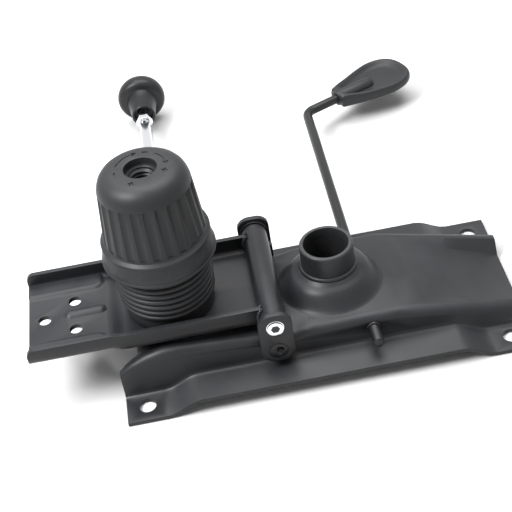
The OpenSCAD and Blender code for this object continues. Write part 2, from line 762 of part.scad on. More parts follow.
// Paddle outline: narrow at the rod, wide and round at the far end
module paddle_outline() {
    w = paddle_w / 2;
    r = 13;
    far_r = 24;
    hull() {
        translate([3, 0]) square([6, 14], center = true);
        for (s = [-1, 1]) translate([paddle_l - r - 1, s * (w - r)]) circle(r = r, $fn = 40);
        translate([paddle_l - far_r, 0]) circle(r = far_r, $fn = 48);
    }
}

// A dished blade with a round sleeve for the rod, which ends in an upright face
module lever_paddle() {
    low = -paddle_t / 2;
    rim = 4.5;
    dish = 2.6;
    dish_half = paddle_w / 2 - 3.5;
    dish_r = (dish_half * dish_half + dish * dish) / (2 * dish);
    slope = 4;
    color("#2f3032") lever_path_end() translate([rod_run, 0, 0]) difference() {
        union() {
            difference() {
                translate([0, 0, low]) linear_extrude(height = rim - low) paddle_outline();
                translate([paddle_l - dish_half - 4.5, 0, rim - dish + dish_r])
                    sphere(r = dish_r, $fn = 96);
                rotate([0, -slope, 0]) translate([0, -paddle_w, low - 10])
                    cube([2 * paddle_l, 2 * paddle_w, 10]);
            }
            rotate([0, 90, 0]) cylinder(d = paddle_t, h = rod_grip + 4);
        }
        translate([-1, 0, 0]) rotate([0, 90, 0]) cylinder(d = rod_d + 2 * run_c, h = rod_grip + 1.4);
        rotate([0, 90, 0]) translate([0, 0, -eps]) cylinder(d1 = rod_d + 2.4, d2 = rod_d, h = 1.6);
    }
}

// Tilt lock

module lock_tab() {
    color("#55575a") difference() {
        union() {
            translate([lock_x - tab_w / 2, tab_y, lock_z]) cube([tab_w, tab_t, tray_z - lock_z]);
            translate([lock_x, 0, lock_z]) along_y(tab_y, tab_y + tab_t, tab_w);
        }
        translate([lock_x, 0, lock_z]) along_y(tab_y - 1, tab_y + tab_t + 1, tab_hole_d);
    }
}

module lock_sleeve() {
    color("#d9d6cc") translate([lock_x, 0, lock_z]) difference() {
        union() {
            along_y(wall_y - sleeve_in, wall_y + 1, sleeve_d);
            along_y(wall_y, wall_y + 2, sleeve_d + 1.2);
        }
        along_y(wall_y - sleeve_in - 1, wall_y + 4, lock_d + 2 * run_c);
    }
}

module lock_rod() {
    color("#d5d8dc") translate([lock_x, 0, lock_z]) {
        translate([0, tip_y, 0]) rotate([-90, 0, 0]) cylinder(d1 = lock_d - 3, d2 = lock_d, h = 1.5);
        along_y(tip_y + 1.5 - eps, lock_reach, lock_d);
        along_y(lock_reach - eps, lock_reach + 24, stud_d);
    }
}

module lock_jam_nut() {
    color("#c9ccd0") translate([lock_x, lock_reach, lock_z]) rotate([-90, 0, 0]) difference() {
        hexagon(jam_af, jam_h);
        translate([0, 0, -1]) cylinder(d = stud_d + 2 * run_c, h = jam_h + 2);
    }
}

// Lock knob: a neck that swells into a mushroom head
module lock_knob() {
    r = lock_head_d / 2;
    l = lock_knob_l;
    color("#262728") translate([lock_x, lock_reach + 15.5, lock_z]) rotate([-90, 0, 0]) difference() {
        rotate_extrude() polygon(concat(
            [[0, 0], [8.4, 0], [8.8, 0.6], [9.6, l * 0.2], [11.4, l * 0.32], [r * 0.78, l * 0.44]],
            [for (a = [-30 : 15 : 90]) [r * (a < 0 ? cos(a * 0.9) : cos(a)),
                l * 0.62 + (a < 0 ? l * 0.2 * sin(a) : l * 0.38 * sin(a))]]));
        translate([0, 0, -1]) cylinder(d = stud_d + 2 * run_c, h = 11);
        translate([0, 0, -1]) cylinder(d = stud_d + 5, h = 6);
    }
}

seat_plate();
gas_socket();
socket_collar();
side_link_near();
side_link_far();
link_pins();
pivot_shaft();
pivot_bolts();
back_bracket();
pivot_tube();
pivot_bushes();
rest_pads();
anchor_plate();
tension_bolt();
spring_seat();
tension_spring();
thrust_washer();
knob_nut();
tension_knob();
dust_bellows();
gas_lever_rod();
lever_tongue();
lever_bushes();
lever_clips();
lever_paddle();
lock_tab();
lock_sleeve();
lock_rod();
lock_jam_nut();
lock_knob();
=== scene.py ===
# %% [markdown]
# # Push back mechanism of an office chair
# This lesson dresses a finished CAD model. The model already has its sizes and joints, so nothing here moves
# it. Each pressed, turned or moulded piece is copied and gets the small radii, threads, folds and surface
# that a camera would see. A few copies are drawn a little fuller or slimmer, as the photograph shows them,
# and a light and a camera match that photograph.

# %% Load the CAD model
import math

import bpy
from mathutils import Matrix, Vector


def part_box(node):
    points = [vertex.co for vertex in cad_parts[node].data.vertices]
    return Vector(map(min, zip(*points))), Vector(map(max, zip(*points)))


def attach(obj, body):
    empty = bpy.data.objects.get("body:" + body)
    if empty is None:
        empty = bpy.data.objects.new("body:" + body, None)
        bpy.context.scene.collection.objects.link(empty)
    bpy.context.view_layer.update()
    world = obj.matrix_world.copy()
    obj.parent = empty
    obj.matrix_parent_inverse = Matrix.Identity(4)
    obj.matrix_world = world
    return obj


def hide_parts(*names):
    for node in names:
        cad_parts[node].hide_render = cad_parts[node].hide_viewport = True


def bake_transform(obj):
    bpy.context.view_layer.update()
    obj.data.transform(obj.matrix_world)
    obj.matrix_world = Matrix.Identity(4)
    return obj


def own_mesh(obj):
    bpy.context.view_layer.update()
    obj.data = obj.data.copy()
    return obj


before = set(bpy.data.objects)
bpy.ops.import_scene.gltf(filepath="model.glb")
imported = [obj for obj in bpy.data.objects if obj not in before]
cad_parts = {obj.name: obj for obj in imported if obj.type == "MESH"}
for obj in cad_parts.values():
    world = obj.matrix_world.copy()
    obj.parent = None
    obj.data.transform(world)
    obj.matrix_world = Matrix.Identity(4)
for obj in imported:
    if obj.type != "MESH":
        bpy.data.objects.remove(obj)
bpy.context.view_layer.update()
MM = 0.001

# %% [markdown]
# The camera comes first, because every later choice is judged through it. The photograph is a steep look
# down at the part with the camera rolled a little, so the part runs uphill to the right. The numbers were
# solved from edges of known size in the photograph, and the focal length is given in pixels of its frame.

# %% Camera
FRAME_PX = 512
FOCAL_PX = 1237.5
SENSOR_MM = 36
AZIMUTH = math.radians(-1.84)
ELEVATION = math.radians(40.28)
ROLL = math.radians(-9.62)
DISTANCE = 766.1 * MM
LOOK_AT = Vector((-32.0, -0.5, 62.1)) * MM

back = Vector((
    math.sin(AZIMUTH) * math.cos(ELEVATION),
    -math.cos(AZIMUTH) * math.cos(ELEVATION),
    math.sin(ELEVATION),
))
level_right = (-back).cross(Vector((0, 0, 1))).normalized()
level_up = level_right.cross(-back)
right = level_right * math.cos(ROLL) + level_up * math.sin(ROLL)
up = level_up * math.cos(ROLL) - level_right * math.sin(ROLL)

bpy.ops.object.camera_add()
camera = bpy.context.object
camera.name = "camera"
camera.data.sensor_width = SENSOR_MM
camera.data.lens = FOCAL_PX / FRAME_PX * SENSOR_MM
camera.data.clip_start = 0.01
camera.matrix_world = Matrix.Translation(LOOK_AT + back * DISTANCE) @ Matrix((right, up, back)).transposed().to_4x4()
bpy.context.scene.camera = camera
print("lens", round(camera.data.lens, 1), "mm, camera at", [round(v, 3) for v in camera.location])

# %% [markdown]
# Materials are built from nodes. Two small helpers do all of it: one turns a hex colour as seen on a screen
# into the linear value that the renderer wants, and one adds a node with its settings and links.

# %% Node helpers


def linear(hex_code):
    channels = [int(hex_code[i:i + 2], 16) / 255 for i in (1, 3, 5)]
    return tuple(c / 12.92 if c <= 0.04045 else ((c + 0.055) / 1.055) ** 2.4 for c in channels) + (1.0,)


def add_node(tree, kind, sockets=None, **settings):
    node = tree.nodes.new(kind)
    for name, value in settings.items():
        setattr(node, name, value)
    for name, value in (sockets or {}).items():
        if isinstance(value, bpy.types.NodeSocket):
            tree.links.new(value, node.inputs[name])
        else:
            node.inputs[name].default_value = value
    return node


def new_material(name):
    material = bpy.data.materials.new(name)
    material.use_nodes = True
    tree = material.node_tree
    tree.nodes.clear()
    shader = add_node(tree, "ShaderNodeBsdfPrincipled")
    add_node(tree, "ShaderNodeOutputMaterial", {"Surface": shader.outputs["BSDF"]})
    place = add_node(tree, "ShaderNodeTexCoord").outputs["Object"]
    return material, tree, shader, place


# %% [markdown]
# Powder coated steel is what most of this part is. The coat is sprayed dry and baked, which leaves a satin
# film with a faint orange peel of about a millimetre, slightly uneven gloss and a dusty bloom. Two noises of
# different size give the peel and the bloom, and the colour stays almost even. Faces that do not look up get
# a darker colour, which is painted shade on the walls.

# %% Powder coated steel
BLOOM_MM = 22
WALL_TONE = 0.62


def powder_coat(name, dark, light, gloss=(0.36, 0.5), peel_mm=1.1):
    material, tree, shader, place = new_material(name)
    bloom = add_node(tree, "ShaderNodeTexNoise", {"Vector": place, "Scale": 1 / (BLOOM_MM * MM), "Detail": 4.0})
    peel = add_node(tree, "ShaderNodeTexNoise", {"Vector": place, "Scale": 1 / (peel_mm * MM), "Detail": 2.0})
    tint = add_node(tree, "ShaderNodeValToRGB", {"Fac": bloom.outputs["Fac"]})
    tint.color_ramp.elements[0].position = 0.3
    tint.color_ramp.elements[0].color = linear(dark)
    tint.color_ramp.elements[1].position = 0.7
    tint.color_ramp.elements[1].color = linear(light)
    rough = add_node(tree, "ShaderNodeMapRange", {
        "Value": bloom.outputs["Fac"], "From Min": 0.3, "From Max": 0.7, "To Min": gloss[0], "To Max": gloss[1]})
    bump = add_node(tree, "ShaderNodeBump", {
        "Height": peel.outputs["Fac"], "Strength": 0.35, "Distance": 0.05 * MM})
    # Painted shade: the colour is scaled down to WALL_TONE on faces that turn away from straight up
    normal = add_node(tree, "ShaderNodeNewGeometry").outputs["Normal"]
    facing = add_node(tree, "ShaderNodeSeparateXYZ", {"Vector": normal})
    painted_wall_shade = add_node(tree, "ShaderNodeMapRange", {
        "Value": facing.outputs["Z"], "From Min": 0.1, "From Max": 0.85, "To Min": WALL_TONE, "To Max": 1.0})
    wall_shaded_tint = add_node(tree, "ShaderNodeVectorMath", {
        0: tint.outputs["Color"], "Scale": painted_wall_shade.outputs["Result"]}, operation="SCALE")
    tree.links.new(wall_shaded_tint.outputs["Vector"], shader.inputs["Base Color"])
    tree.links.new(rough.outputs["Result"], shader.inputs["Roughness"])
    tree.links.new(bump.outputs["Normal"], shader.inputs["Normal"])
    shader.inputs["IOR"].default_value = 1.5
    shader.inputs["Specular IOR Level"].default_value = 0.36
    return material


coated_steel = powder_coat("powder_coated_pressed_steel", "#232427", "#2d2e31")
coated_tube = powder_coat("powder_coated_tube", "#242528", "#2b2c2f", gloss=(0.3, 0.4))
coated_rod = powder_coat("powder_coated_rod", "#17181a", "#1d1e20", gloss=(0.34, 0.44))
print("made", coated_steel.name, coated_tube.name, coated_rod.name)

# %% [markdown]
# The column socket wears the same coat outside, but mixed lighter, as painted light that offsets the painted
# wall shade on its upright faces. Its taper was bored on a lathe. The tool leaves fine rings that the coat
# does not hide, so the same recipe gets a ring pattern where the radius is small.

# %% Coated steel with a bored taper
socket_low, socket_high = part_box("gas_socket")
socket_axis = (socket_low + socket_high) / 2
RING_MM, BORE_MM, RIM_MM = 1.3, 14.5, 8


def bored_socket_coat(name):
    # Painted light: lighter colours than the pressed steel's coat, against the painted wall shade
    material = powder_coat(name, "#333436", "#3b3c3e")
    tree = material.node_tree
    shader = next(n for n in tree.nodes if n.type == "BSDF_PRINCIPLED")
    place = next(n for n in tree.nodes if n.type == "TEX_COORD").outputs["Object"]
    centred = add_node(tree, "ShaderNodeVectorMath", {0: place, 1: (socket_axis.x, 0, 0)}, operation="SUBTRACT")
    parts = add_node(tree, "ShaderNodeSeparateXYZ", {"Vector": centred.outputs["Vector"]})
    flat = add_node(tree, "ShaderNodeCombineXYZ", {"X": parts.outputs["X"], "Y": parts.outputs["Y"]})
    radius = add_node(tree, "ShaderNodeVectorMath", {0: flat.outputs["Vector"]}, operation="LENGTH")
    inside = add_node(tree, "ShaderNodeMath", {
        0: radius.outputs["Value"], 1: BORE_MM * MM}, operation="LESS_THAN")
    below = add_node(tree, "ShaderNodeMath", {
        0: parts.outputs["Z"], 1: socket_high.z - RIM_MM * MM}, operation="LESS_THAN")
    mask = add_node(tree, "ShaderNodeMath", {
        0: inside.outputs["Value"], 1: below.outputs["Value"]}, operation="MULTIPLY")
    wave = add_node(tree, "ShaderNodeMath", {
        0: parts.outputs["Z"], 1: 2 * math.pi / (RING_MM * MM)}, operation="MULTIPLY")
    ring = add_node(tree, "ShaderNodeMath", {0: wave.outputs["Value"]}, operation="SINE")
    height = add_node(tree, "ShaderNodeMath", {
        0: ring.outputs["Value"], 1: mask.outputs["Value"]}, operation="MULTIPLY")
    first = shader.inputs["Normal"].links[0].from_node
    rings = add_node(tree, "ShaderNodeBump", {
        "Height": height.outputs["Value"], "Strength": 0.8, "Distance": 0.12 * MM, "Normal": first.outputs["Normal"]})
    tree.links.new(rings.outputs["Normal"], shader.inputs["Normal"])
    return material


coated_socket = bored_socket_coat("powder_coated_bored_socket")
print("socket axis at", [round(v, 4) for v in socket_axis])

# %% [markdown]
# The knob, the paddle and the lock knob are mouldings. A spark eroded mould leaves a fine even grain, much
# finer than the coat's peel, and the plastic shines a little less. The grain is drawn at 0.7 mm, coarser
# than the real one, so that it shows at all in the render. Rubber is darker and duller still.

# %% Moulded plastic and rubber
FLOW_MM = 14


def moulded(name, colour, rough, grain_mm=0.7, depth_mm=0.02, cloud=0.12):
    material, tree, shader, place = new_material(name)
    grain = add_node(tree, "ShaderNodeTexNoise", {"Vector": place, "Scale": 1 / (grain_mm * MM), "Detail": 3.0})
    flow = add_node(tree, "ShaderNodeTexNoise", {"Vector": place, "Scale": 1 / (FLOW_MM * MM), "Detail": 3.0})
    shade = add_node(tree, "ShaderNodeMapRange", {
        "Value": flow.outputs["Fac"], "From Min": 0.3, "From Max": 0.7, "To Min": 1 - cloud, "To Max": 1 + cloud})
    tint = add_node(tree, "ShaderNodeVectorMath", {0: linear(colour)[:3], "Scale": shade.outputs["Result"]},
                    operation="SCALE")
    gloss = add_node(tree, "ShaderNodeMapRange", {
        "Value": flow.outputs["Fac"], "From Min": 0.3, "From Max": 0.7, "To Min": rough - 0.05, "To Max": rough + 0.05})
    bump = add_node(tree, "ShaderNodeBump", {
        "Height": grain.outputs["Fac"], "Strength": 0.5, "Distance": depth_mm * MM})
    tree.links.new(tint.outputs["Vector"], shader.inputs["Base Color"])
    tree.links.new(gloss.outputs["Result"], shader.inputs["Roughness"])
    tree.links.new(bump.outputs["Normal"], shader.inputs["Normal"])
    shader.inputs["IOR"].default_value = 1.49
    shader.inputs["Specular IOR Level"].default_value = 0.36
    return material


knob_nylon = moulded("grained_nylon", "#262729", 0.47)
paddle_nylon = moulded("grained_polypropylene", "#2a2b2d", 0.44)
knob_phenolic = moulded("satin_phenolic", "#1e1f21", 0.36, grain_mm=1.0, depth_mm=0.01)
bellows_rubber = moulded("moulded_rubber", "#28292b", 0.46, grain_mm=0.9)
# This rubber is the rest pads' own and also the painted shadow ring in the paddle's mouth
rubber_and_gap_shadow = moulded("black_rubber_and_gap_shadow", "#1d1d1e", 0.6)
bush_acetal = moulded("black_acetal", "#262628", 0.34, cloud=0.06)
print("made the mouldings")

# %% [markdown]
# Chrome is a thin mirror over polished steel, so it gets nearly no roughness and only faint draw marks.
# Zinc plate and bare spring steel are duller and greyer, and both carry fine scratches along the work.

# %% Chrome, zinc plate and spring steel


def metal(name, colour, rough, scratch_mm, depth_mm):
    material, tree, shader, place = new_material(name)
    stretched = add_node(tree, "ShaderNodeMapping", {"Vector": place, "Scale": (1.0, 0.06, 1.0)})
    marks = add_node(tree, "ShaderNodeTexNoise", {
        "Vector": stretched.outputs["Vector"], "Scale": 1 / (scratch_mm * MM), "Detail": 3.0})
    gloss = add_node(tree, "ShaderNodeMapRange", {
        "Value": marks.outputs["Fac"], "From Min": 0.3, "From Max": 0.7, "To Min": rough * 0.8, "To Max": rough * 1.25})
    bump = add_node(tree, "ShaderNodeBump", {
        "Height": marks.outputs["Fac"], "Strength": 0.3, "Distance": depth_mm * MM})
    tree.links.new(gloss.outputs["Result"], shader.inputs["Roughness"])
    tree.links.new(bump.outputs["Normal"], shader.inputs["Normal"])
    shader.inputs["Base Color"].default_value = linear(colour)
    shader.inputs["Metallic"].default_value = 1.0
    return material


chrome = metal("bright_chrome_plate", "#e8eaed", 0.09, 1.0, 0.002)
zinc = metal("bright_zinc_plate", "#a9acb0", 0.28, 0.8, 0.006)
spring_steel = metal("oiled_spring_steel", "#6d6f72", 0.34, 0.8, 0.006)
# This dark metal is the bolt thread's finish and also painted shade in the screw sockets
oxide_and_socket_shade = metal("black_oxide_and_socket_shade", "#3a3b3d", 0.36, 0.8, 0.006)
print("made the metals")

# %% [markdown]
# A CAD mesh has razor edges and loose triangles. Real sheet, castings and mouldings have small radii that
# catch the light, and those thin highlights are what makes an object look real. Each rigid node is copied,
# its triangles are merged into faces, its sharp edges get a bevel and the rest is shaded smooth. An operator
# acts on all that is selected, so the first helpers select one piece, add it, close it or shape it.

# %% Select, add, close and shape a piece


def deselect_all():
    if bpy.context.object and bpy.context.object.mode != "OBJECT":
        bpy.ops.object.mode_set(mode="OBJECT")
    bpy.ops.object.select_all(action="DESELECT")


def make_active(piece):
    deselect_all()
    piece.select_set(True)
    bpy.context.view_layer.objects.active = piece


def add_piece(name, data):
    piece = bpy.data.objects.new(name, data)
    bpy.context.scene.collection.objects.link(piece)
    make_active(piece)
    return piece


def close_shell(piece, merge_mm=0):
    make_active(piece)
    bpy.ops.object.mode_set(mode="EDIT")
    bpy.ops.mesh.select_all(action="SELECT")
    if merge_mm:
        bpy.ops.mesh.remove_doubles(threshold=merge_mm * MM)
    bpy.ops.mesh.normals_make_consistent(inside=False)
    bpy.ops.object.mode_set(mode="OBJECT")


def apply_modifier(piece, kind, **settings):
    make_active(piece)
    modifier = piece.modifiers.new(kind.title(), kind)
    for name, value in settings.items():
        setattr(modifier, name, value)
    bpy.ops.object.modifier_apply(modifier=modifier.name)


print("helpers ready, for one piece at a time")

# %% [markdown]
# The next helpers dress a piece. A copy of a CAD node is merged first, because a bevel needs whole faces and
# a copy has a seam at every triangle. Its finish, the body it rides on and the node that it stands for are
# then set in one place, for copies and new pieces alike.

# %% Copy, bevel and finish a piece
SHARP_DEG, SMOOTH_DEG, FLAT_DEG = 32, 38, 0.6
SEAM_MM = 0.002


def round_edges(piece, width_mm, segments=2, miter="MITER_ARC"):
    apply_modifier(piece, "BEVEL", width=width_mm * MM, segments=segments, limit_method="ANGLE",
                   angle_limit=math.radians(SHARP_DEG), use_clamp_overlap=True, miter_outer=miter)


def finish_piece(piece, body, material, nodes=(), smooth_deg=SMOOTH_DEG):
    make_active(piece)
    bpy.ops.object.shade_smooth_by_angle(angle=math.radians(smooth_deg))
    piece.data.materials.clear()
    piece.data.materials.append(material)
    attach(piece, body)
    if nodes:
        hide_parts(*nodes)
    return piece


def merged_copy(node, name):
    piece = add_piece(name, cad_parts[node].data.copy())
    if piece.data.has_custom_normals:
        bpy.ops.mesh.customdata_custom_splitnormals_clear()
    bpy.ops.object.mode_set(mode="EDIT")
    bpy.ops.mesh.select_all(action="SELECT")
    bpy.ops.mesh.remove_doubles(threshold=SEAM_MM * MM)
    bpy.ops.mesh.dissolve_limited(angle_limit=math.radians(FLAT_DEG), use_dissolve_boundaries=False)
    bpy.ops.object.mode_set(mode="OBJECT")
    return piece


def dress(node, body, material, edge_mm=0.3, segments=2, reshape=None):
    piece = merged_copy(node, node + "_dressed")
    if reshape:
        reshape(piece)
    round_edges(piece, edge_mm, segments)
    return finish_piece(piece, body, material, [node])


print("edges that turn more than", SHARP_DEG, "degrees get a bevel")

# %% [markdown]
# Two forms are fuller in the photograph than in the CAD model. The boss round the socket is wider, and its
# slope starts sooner and ends rounder, and the bead in the tray stands higher and a little off the middle.
# Both copies have enough vertices there already, so these are moved, outwards and up, before the bevel. The
# boss's slope is a sum of an S curve and a power of the way up: drawn is the CAD's sum, rounder the new one.

# %% Reshape the boss and the bead
COLLAR_R, CAD_BOSS_R, DECK_R = 19, 31, 36
BOSS_R, BOSS_H, BOSS_FROM_Z = 34, 14.5, 27
TRAY_FLOOR = 42.0
BEAD_FROM, BEAD_TO, BEAD_HALF = 20, 49, 4.4
BEAD_GROWTH, BEAD_SHIFT = 1.7, 1.2
tray_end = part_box("back_bracket")[0].x / MM


def ease(share):
    share = max(0.0, min(1.0, share))
    return share * share * (3 - 2 * share)


def widen_boss(piece):
    for vertex in piece.data.vertices:
        x, y = vertex.co.x - socket_axis.x, vertex.co.y
        away = math.hypot(x, y) / MM
        if vertex.co.z > BOSS_FROM_Z * MM and COLLAR_R < away < DECK_R:
            share = max(0.0, (CAD_BOSS_R - away) / (CAD_BOSS_R - COLLAR_R))
            drawn = 0.55 * ease(share) + 0.45 * share ** 3
            rounder = 0.66 * ease(share * 1.4) + 0.34 * share ** 2
            vertex.co.z += BOSS_H * (rounder - drawn) * MM
            if away < CAD_BOSS_R:
                wider = COLLAR_R + (away - COLLAR_R) * (BOSS_R - COLLAR_R) / (CAD_BOSS_R - COLLAR_R)
            else:
                wider = away + (BOSS_R - CAD_BOSS_R) * (DECK_R - away) / (DECK_R - CAD_BOSS_R)
            vertex.co.x = socket_axis.x + x * wider / away
            vertex.co.y = y * wider / away


def lift_bead(piece):
    for vertex in piece.data.vertices:
        x, y, z = (value / MM for value in vertex.co)
        over_bead = tray_end + BEAD_FROM < x < tray_end + BEAD_TO and abs(y) < BEAD_HALF
        if over_bead and z > TRAY_FLOOR - 0.02:
            vertex.co.z = (TRAY_FLOOR + (z - TRAY_FLOOR) * BEAD_GROWTH) * MM
            vertex.co.y = (y + BEAD_SHIFT) * MM


print("boss from", CAD_BOSS_R, "to", BOSS_R, "mm in radius, tray's end at x =", round(tray_end, 1), "mm")

# %% [markdown]
# Most pieces need no new shape. Each is dressed with its own finish and with the radius that its process
# leaves: a press rounds thick sheet by half a millimetre or more, and a turned or ground pin stays sharper.

dress("seat_plate", "base", coated_steel, 0.45, reshape=widen_boss)
dress("gas_socket", "base", coated_socket, 0.4)
dress("socket_collar", "base", coated_steel, 0.4)
dress("pivot_bolts", "base", chrome, 0.2)
dress("pivot_shaft", "base", zinc, 0.4)
dress("rest_pads", "base", rubber_and_gap_shadow, 0.6)
dress("anchor_plate", "base", coated_steel, 0.4)
dress("lever_bushes", "base", bush_acetal, 0.2)
dress("lock_sleeve", "base", bush_acetal, 0.25)
dress("back_bracket", "back", coated_steel, 0.8, segments=3, reshape=lift_bead)
dress("spring_seat", "back", zinc, 0.3)
dress("lock_tab", "back", coated_steel, 0.3)
dress("thrust_washer", "washer", zinc, 0.3)
dress("knob_nut", "knob", zinc, 0.3)
dress("gas_lever_rod", "gas_lever", coated_rod, 0.3)
dress("lever_tongue", "gas_lever", coated_steel, 0.3)
dress("lever_clips", "gas_lever", spring_steel, 0.15)
dress("lock_rod", "tilt_lock", chrome, 0.3)

# %% [markdown]
# Round pieces that show their section, such as the mushroom knob of the tilt lock, are drawn as a half
# section and spun in edit mode. The spin is always made round Z and the mesh is then laid along its axis,
# so one helper serves every turned piece.

# %% Turn a round piece
LATHE_STEPS = 96


def turned(name, section, centre, steps=LATHE_STEPS, axis="Z", sign=1):
    mesh = bpy.data.meshes.new(name)
    points = [(radius * MM, 0, height * MM) for radius, height in section]
    mesh.from_pydata(points, [(i, (i + 1) % len(points)) for i in range(len(points))], [])
    piece = add_piece(name, mesh)
    bpy.ops.object.mode_set(mode="EDIT")
    bpy.ops.mesh.select_all(action="SELECT")
    bpy.ops.mesh.spin(steps=steps, angle=2 * math.pi, center=(0, 0, 0), axis=(0, 0, 1))
    close_shell(piece, 0.01)
    turn = Matrix.Identity(4)
    if axis == "Y":
        turn = Matrix.Rotation(math.radians(-90 * sign), 4, "X")
    piece.data.transform(Matrix.Translation(Vector((centre.x, centre.y, 0 if axis == "Z" else centre.z))) @ turn)
    return piece


print("a turned piece has", LATHE_STEPS, "steps round, unless its cell says more or fewer")

# %% [markdown]
# The tilt lock ends in a mushroom knob: a tapered neck with a hollow mouth, and a thick round head. The jam
# nut in front of it is a small chrome hexagon, and the bare stud shows between the two.

# %% Lock knob and jam nut
HEAD_R, KNOB_L, NECK_L = 18.75, 38.4, 20.0
HEAD_L = KNOB_L - NECK_L
KNOB_PAST_NUT, NUT_HOLE_R = 11.2, 5.2
NUT_WIDTH, CAD_NUT_WIDTH = 13, 15
lock_low, lock_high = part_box("lock_rod")
lock_axis = Vector(((lock_low.x + lock_high.x) / 2, 0, (lock_low.z + lock_high.z) / 2))
lock_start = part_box("lock_jam_nut")[0].y / MM + KNOB_PAST_NUT
mouth = [(0, 12), (4.2, 12), (4.2, 6.4), (7.2, 6), (7.2, 0.4)]
neck = [(7.6, 0), (8.7, 0), (9.1, 0.4), (10.3, NECK_L * 0.5), (11.5, NECK_L - 0.8), (11.9, NECK_L - 0.1),
        (12.6, NECK_L + 0.15)]
head = [(0.80, 0.02), (0.89, 0.07), (0.95, 0.14), (0.985, 0.24), (1.0, 0.36), (0.99, 0.48), (0.965, 0.58),
        (0.92, 0.68), (0.85, 0.77), (0.75, 0.85), (0.62, 0.915), (0.46, 0.96), (0.3, 0.985), (0.15, 0.997)]
lock_section = mouth + neck + [(HEAD_R * r, NECK_L + HEAD_L * h) for r, h in head] + [(0, KNOB_L)]
lock_knob = turned("lock_knob_turned", [(r, h + lock_start) for r, h in lock_section], lock_axis, axis="Y")
finish_piece(lock_knob, "tilt_lock", knob_phenolic, ["lock_knob"], smooth_deg=34)

jam_nut = merged_copy("lock_jam_nut", "lock_jam_nut_small")
for vertex in jam_nut.data.vertices:
    away = Vector((vertex.co.x - lock_axis.x, 0, vertex.co.z - lock_axis.z))
    if away.length > NUT_HOLE_R * MM:
        vertex.co.x = lock_axis.x + away.x * NUT_WIDTH / CAD_NUT_WIDTH
        vertex.co.z = lock_axis.z + away.z * NUT_WIDTH / CAD_NUT_WIDTH
round_edges(jam_nut, 0.4, miter="MITER_SHARP")
finish_piece(jam_nut, "tilt_lock", chrome, ["lock_jam_nut"])
print("lock knob from y =", round(lock_start, 1), "to", round(lock_start + KNOB_L, 1), "mm")

# %% [markdown]
# The side links look like thin ears in the photograph. A Boolean cut takes the inner part of each one away
# above its foot, and the pivot tube and its flanged bushes reach out to the ear. They are turned pieces, so
# they use the lathe helper.

# %% Side links, pivot tube and bushes
SIDES = ((-1, "near"), (1, "far"))
EAR_T, EAR_BELOW_PIVOT, EAR_SHRINK, EAR_HEAD = 3.4, 9.6, 0.95, 7
FLANGE_T, FLANGE_ROOM = 1.5, 1.9
tube_low, tube_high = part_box("pivot_tube")
pivot_axis = (tube_low + tube_high) / 2
link_low, link_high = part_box("side_link_far")
link_inner, link_face = link_low.y / MM, link_high.y / MM
ear_inner = link_face - EAR_T
ear_foot = pivot_axis.z / MM - EAR_BELOW_PIVOT


def box_piece(name, low, high):
    deselect_all()
    bpy.ops.mesh.primitive_cube_add(size=1)
    piece = bpy.context.object
    piece.name = name
    piece.scale = [(b - a) * MM for a, b in zip(low, high)]
    piece.location = [(a + b) / 2 * MM for a, b in zip(low, high)]
    bpy.ops.object.transform_apply(location=True, rotation=True, scale=True)
    return piece


for side, side_name in SIDES:
    node = "side_link_" + side_name
    ear = merged_copy(node, node + "_ear")
    for vertex in ear.data.vertices:
        vertex.co.x = pivot_axis.x + (vertex.co.x - pivot_axis.x) * EAR_SHRINK
        if vertex.co.z > pivot_axis.z + EAR_HEAD * MM:
            vertex.co.z = pivot_axis.z + (vertex.co.z - pivot_axis.z) * EAR_SHRINK
    span = sorted((side * (link_inner - 1), side * ear_inner))
    gap_low = (link_low.x / MM - 1, span[0], ear_foot)
    gap_high = (link_high.x / MM + 1, span[1], link_high.z / MM + 1)
    gap = box_piece("ear_gap", gap_low, gap_high)
    apply_modifier(ear, "BOOLEAN", object=gap, operation="DIFFERENCE", solver="EXACT")
    bpy.data.objects.remove(gap)
    round_edges(ear, 0.5, segments=3, miter="MITER_SHARP")
    finish_piece(ear, "base", coated_steel, [node])

tube_end = ear_inner - FLANGE_ROOM
tube_half = [(6.3, tube_end), (7.6, tube_end), (8, tube_end - 0.4)]
tube = turned("pivot_tube_turned", [(r, -y) for r, y in tube_half] + tube_half[::-1], pivot_axis, steps=128, axis="Y")
finish_piece(tube, "back", coated_tube, ["pivot_tube"])
bush_section = [(5.1, 34), (6.2, 34), (6.2, tube_end + 0.05), (8.8, tube_end + 0.05), (9.1, tube_end + 0.35),
                (9.1, tube_end + 1.2), (8.8, tube_end + FLANGE_T), (5.1, tube_end + FLANGE_T)]
for side, side_name in SIDES:
    bush = turned("pivot_bush_" + side_name, bush_section, pivot_axis, axis="Y", sign=side)
    finish_piece(bush, "back", bush_acetal, ["pivot_bushes"])
print("ears", EAR_T, "mm thick, tube to y =", round(tube_end, 1), "mm")

# %% [markdown]
# The bracket is welded to the pivot tube where each wall is cut round it. A weld bead is a row of small
# puddles that overlap, so each one is a curve along the joint that swells and thins every few millimetres.

# %% Weld the bracket to its tube
WELD_R, WELD_AT, WELD_POINTS = 1.3, 8.5, 60
SWELL, SWELL_EVERY = 0.15, 6
WELD_FROM, OUTER_TO, INNER_TO = 128, 232, 200
OUTSIDE, INSIDE = 0.2, 3.2
wall_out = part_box("back_bracket")[1].y / MM


def round_wire(name, points, wire_radius, roundness):
    curve = bpy.data.curves.new(name, "CURVE")
    curve.dimensions = "3D"
    curve.bevel_depth = wire_radius
    curve.bevel_resolution = roundness
    curve.use_fill_caps = True
    spline = curve.splines.new("POLY")
    spline.points.add(len(points) - 1)
    for point, (x, y, z, thickness) in zip(spline.points, points):
        point.co = (x, y, z, 1)
        point.radius = thickness
    add_piece(name, curve)
    bpy.ops.object.convert(target="MESH")
    return bpy.context.object


